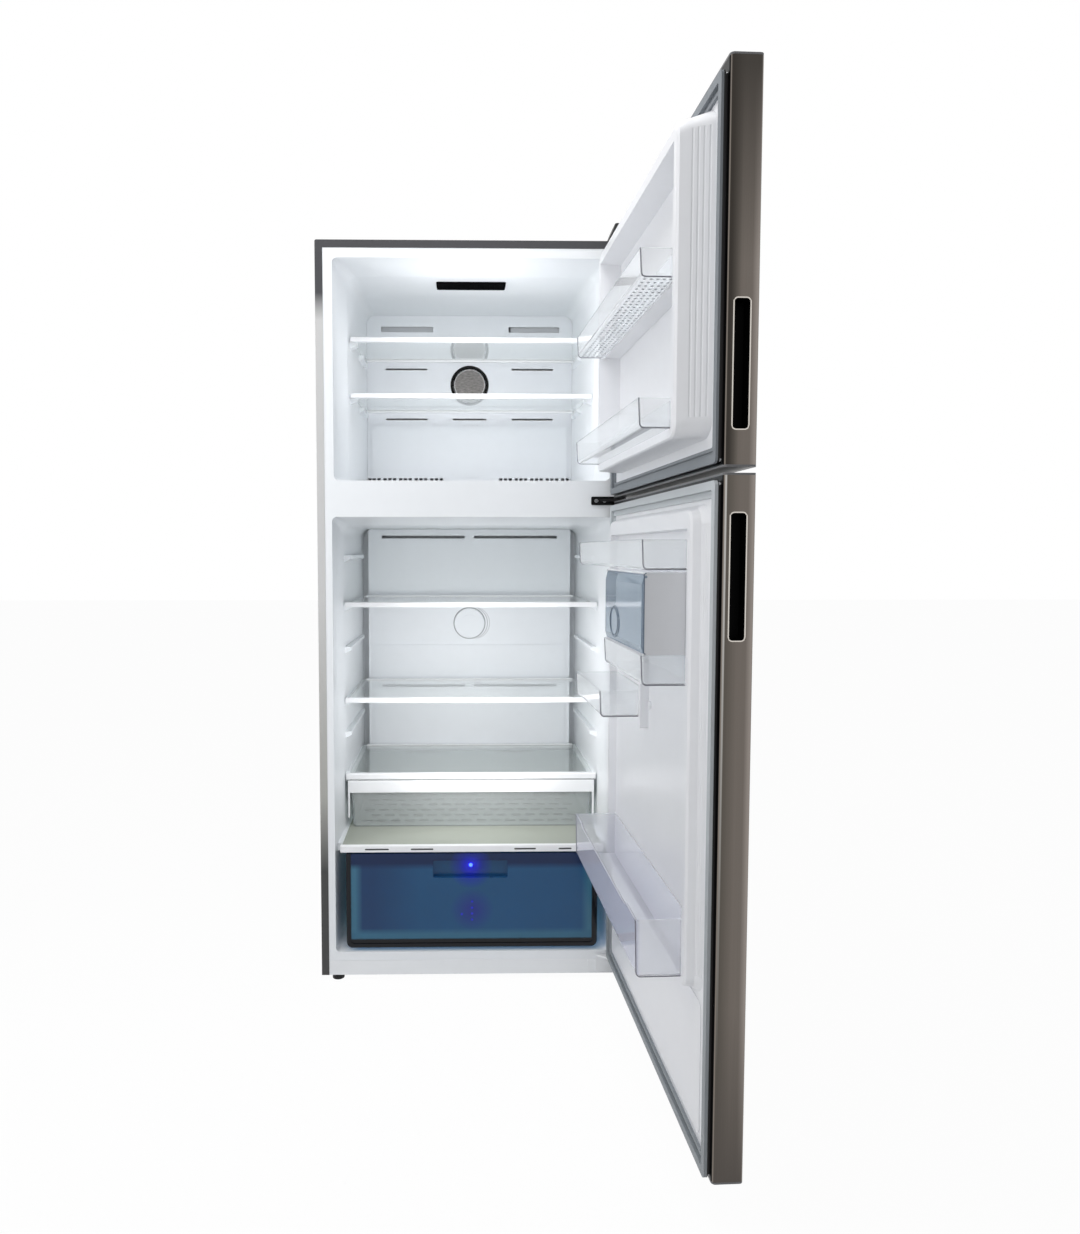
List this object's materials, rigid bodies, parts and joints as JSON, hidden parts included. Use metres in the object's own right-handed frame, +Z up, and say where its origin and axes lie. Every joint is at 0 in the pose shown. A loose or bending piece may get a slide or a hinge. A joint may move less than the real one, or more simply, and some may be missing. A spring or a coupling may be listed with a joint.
{
  "type": "top mount refrigerator",
  "caption": "Free-standing top mount refrigerator with hinged freezer and fresh food doors, glass shelves, chiller tray, crisper bin and door balconies.",
  "frame": {"origin": "centre of the bounding box footprint at floor level, with both doors open as in the picture", "axes": "+Z up, -Y out of the cabinet's front, +X to the viewer's right"},
  "size_m": [0.7398, 1.308, 1.722],
  "materials": {
    "wrapper_steel": "satin paint",
    "back_steel": "satin paint",
    "base_steel": "satin paint",
    "foam": "matte",
    "liner_white": "gloss",
    "panel_white": "satin",
    "coil_aluminium": "plain",
    "black_plastic": "matte",
    "dark_plastic": "matte",
    "grille_grey": "satin",
    "compressor_black": "gloss paint",
    "mount_rubber": "matte",
    "condenser_black": "matte paint",
    "hinge_steel": "black paint",
    "shelf_glass": "clear",
    "trim_white": "gloss",
    "roller_plastic": "matte",
    "foot_plastic": "matte",
    "clear_plastic": "clear",
    "crisper_blue": "translucent",
    "tinted_plastic": "translucent",
    "door_steel": "brushed",
    "cap_grey": "satin",
    "gasket_grey": "satin"
  },
  "bodies": {
    "cabinet": {"outer_wrapper": "wrapper_steel", "back_panel": "back_steel", "base_frame": "base_steel", "cabinet_foam": "foam", "inner_liner": "liner_white", "evaporator_cover": "panel_white", "evaporator": "coil_aluminium", "fan_motor": "black_plastic", "fan_grille": "grille_grey", "ceiling_light_strip": "dark_plastic", "air_duct_panel": "panel_white", "duct_cover_disc": "panel_white", "compressor": "compressor_black", "compressor_mounts": "mount_rubber", "condenser": "condenser_black", "drain_tray": "dark_plastic", "machine_cover": "back_steel", "top_hinge_bracket": "hinge_steel", "top_hinge_cover": "black_plastic", "mid_hinge_bracket": "hinge_steel", "bottom_hinge_bracket": "base_steel", "crisper_cover_glass": "shelf_glass", "crisper_cover_trim": "trim_white", "chiller_shelf_glass": "shelf_glass", "chiller_shelf_trim": "trim_white"},
    "freezer_door": {"freezer_door_pan": "door_steel", "freezer_door_caps": "cap_grey", "freezer_door_foam": "foam", "freezer_door_liner": "liner_white", "freezer_door_gasket": "gasket_grey", "freezer_door_handle_cup": "black_plastic", "freezer_upper_balcony": "clear_plastic", "freezer_lower_balcony": "clear_plastic"},
    "fridge_door": {"fridge_door_pan": "door_steel", "fridge_door_caps": "cap_grey", "fridge_door_foam": "foam", "fridge_door_liner": "liner_white", "fridge_door_gasket": "gasket_grey", "fridge_door_handle_cup": "black_plastic", "fridge_top_balcony": "clear_plastic", "utility_balcony": "clear_plastic", "utility_box": "clear_plastic", "half_balcony": "clear_plastic", "bottle_balcony": "clear_plastic"},
    "utility_flap": {"utility_box_flap": "tinted_plastic"},
    "evaporator_fan": {"fan_rotor": "grille_grey"},
    "rollers": {"rear_rollers": "roller_plastic"},
    "left_foot": {"front_foot_left": "foot_plastic"},
    "right_foot": {"front_foot_right": "foot_plastic"},
    "freezer_shelf_upper": {"freezer_shelf_upper_glass": "shelf_glass", "freezer_shelf_upper_trim": "trim_white"},
    "freezer_shelf_lower": {"freezer_shelf_lower_glass": "shelf_glass", "freezer_shelf_lower_trim": "trim_white"},
    "fridge_shelf_upper": {"fridge_shelf_upper_glass": "shelf_glass", "fridge_shelf_upper_trim": "trim_white"},
    "fridge_shelf_middle": {"fridge_shelf_middle_glass": "shelf_glass", "fridge_shelf_middle_trim": "trim_white"},
    "chiller_drawer": {"chiller_tray": "clear_plastic", "chiller_front": "trim_white"},
    "crisper_drawer": {"crisper_bin": "crisper_blue"}
  },
  "joints": [
    {"name": "freezer_door_hinge", "type": "hinge", "parent": "cabinet", "child": "freezer_door", "pos_m": [0.31799, 0.03414, 1.4], "axis": [0, 0, 1], "range_deg": [-92, 38]},
    {"name": "fridge_door_hinge", "type": "hinge", "parent": "cabinet", "child": "fridge_door", "pos_m": [0.31799, 0.03414, 0.59], "axis": [0, 0, 1], "range_deg": [-92, 38]},
    {"name": "utility_flap_hinge", "type": "hinge", "parent": "fridge_door", "child": "utility_flap", "pos_m": [0.22889, -0.43726, 0.962], "axis": [-0.0349, 0.9994, 0], "range_deg": [0, 85]},
    {"name": "crisper_slide", "type": "slide", "parent": "cabinet", "child": "crisper_drawer", "axis": [0, -1, 0], "range_m": [0, 0.26]},
    {"name": "chiller_slide", "type": "slide", "parent": "cabinet", "child": "chiller_drawer", "axis": [0, -1, 0], "range_m": [0, 0.19]},
    {"name": "freezer_shelf_upper_slide", "type": "slide", "parent": "cabinet", "child": "freezer_shelf_upper", "axis": [0, -1, 0], "range_m": [0, 0.19]},
    {"name": "freezer_shelf_lower_slide", "type": "slide", "parent": "cabinet", "child": "freezer_shelf_lower", "axis": [0, -1, 0], "range_m": [0, 0.19]},
    {"name": "fridge_shelf_upper_slide", "type": "slide", "parent": "cabinet", "child": "fridge_shelf_upper", "axis": [0, -1, 0], "range_m": [0, 0.19]},
    {"name": "fridge_shelf_middle_slide", "type": "slide", "parent": "cabinet", "child": "fridge_shelf_middle", "axis": [0, -1, 0], "range_m": [0, 0.19]},
    {"name": "fan_spin", "type": "hinge", "parent": "cabinet", "child": "evaporator_fan", "pos_m": [-0.02001, 0.50914, 1.457], "axis": [0, 1, 0], "continuous": true},
    {"name": "roller_spin", "type": "hinge", "parent": "cabinet", "child": "rollers", "pos_m": [-0.02001, 0.61914, 0.013], "axis": [1, 0, 0], "continuous": true},
    {"name": "left_foot_turn", "type": "hinge", "parent": "cabinet", "child": "left_foot", "pos_m": [-0.33401, 0.08414, 0.007], "axis": [0, 0, 1], "continuous": true},
    {"name": "right_foot_turn", "type": "hinge", "parent": "cabinet", "child": "right_foot", "pos_m": [0.29399, 0.11214, 0.007], "axis": [0, 0, 1], "continuous": true}
  ]
}
